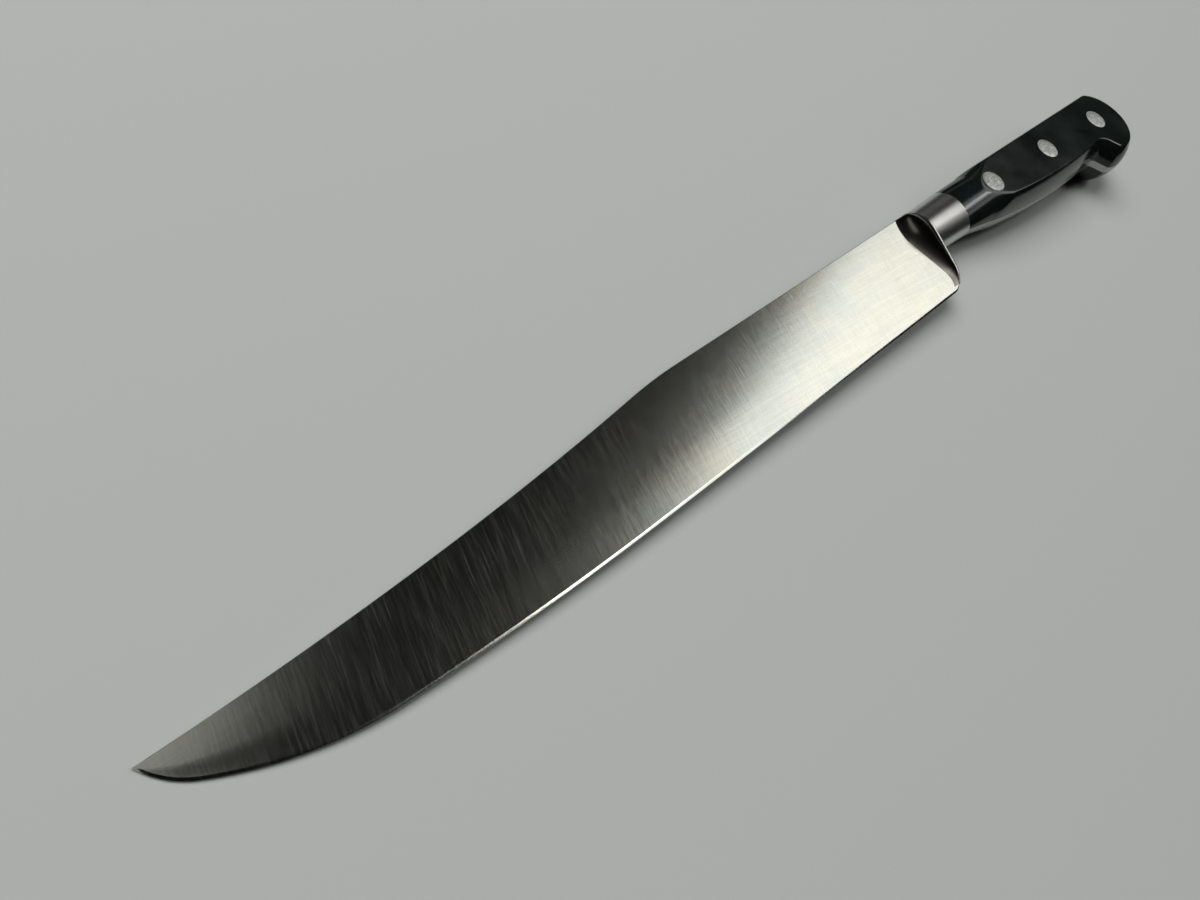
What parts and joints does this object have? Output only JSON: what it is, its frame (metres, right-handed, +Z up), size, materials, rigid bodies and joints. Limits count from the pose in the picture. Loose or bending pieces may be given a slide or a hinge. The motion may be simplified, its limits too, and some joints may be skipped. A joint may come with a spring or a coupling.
{
  "type": "carving knife",
  "caption": "Forged carving knife with a long sabre-shaped blade, full bolster, full tang and riveted black handle scales that end in a hooked butt.",
  "frame": {"origin": "middle of the footprint of the knife as it lies on its right side on a table, at the table's surface", "axes": "+X from the tip to the butt of the handle, +Y towards the spine, +Z up through the left cheek of the handle"},
  "size_m": [0.373, 0.038, 0.0202],
  "materials": {
    "blade_steel": "satin, ground across the blade",
    "scale_polymer": "semi-gloss",
    "rivet_metal": "ground flush, matt"
  },
  "bodies": {
    "root": {"blade": "blade_steel", "left_scale": "scale_polymer", "right_scale": "scale_polymer", "front_rivet_stud": "rivet_metal", "front_rivet_socket": "rivet_metal", "middle_rivet_stud": "rivet_metal", "middle_rivet_socket": "rivet_metal", "rear_rivet_stud": "rivet_metal", "rear_rivet_socket": "rivet_metal"}
  },
  "joints": []
}
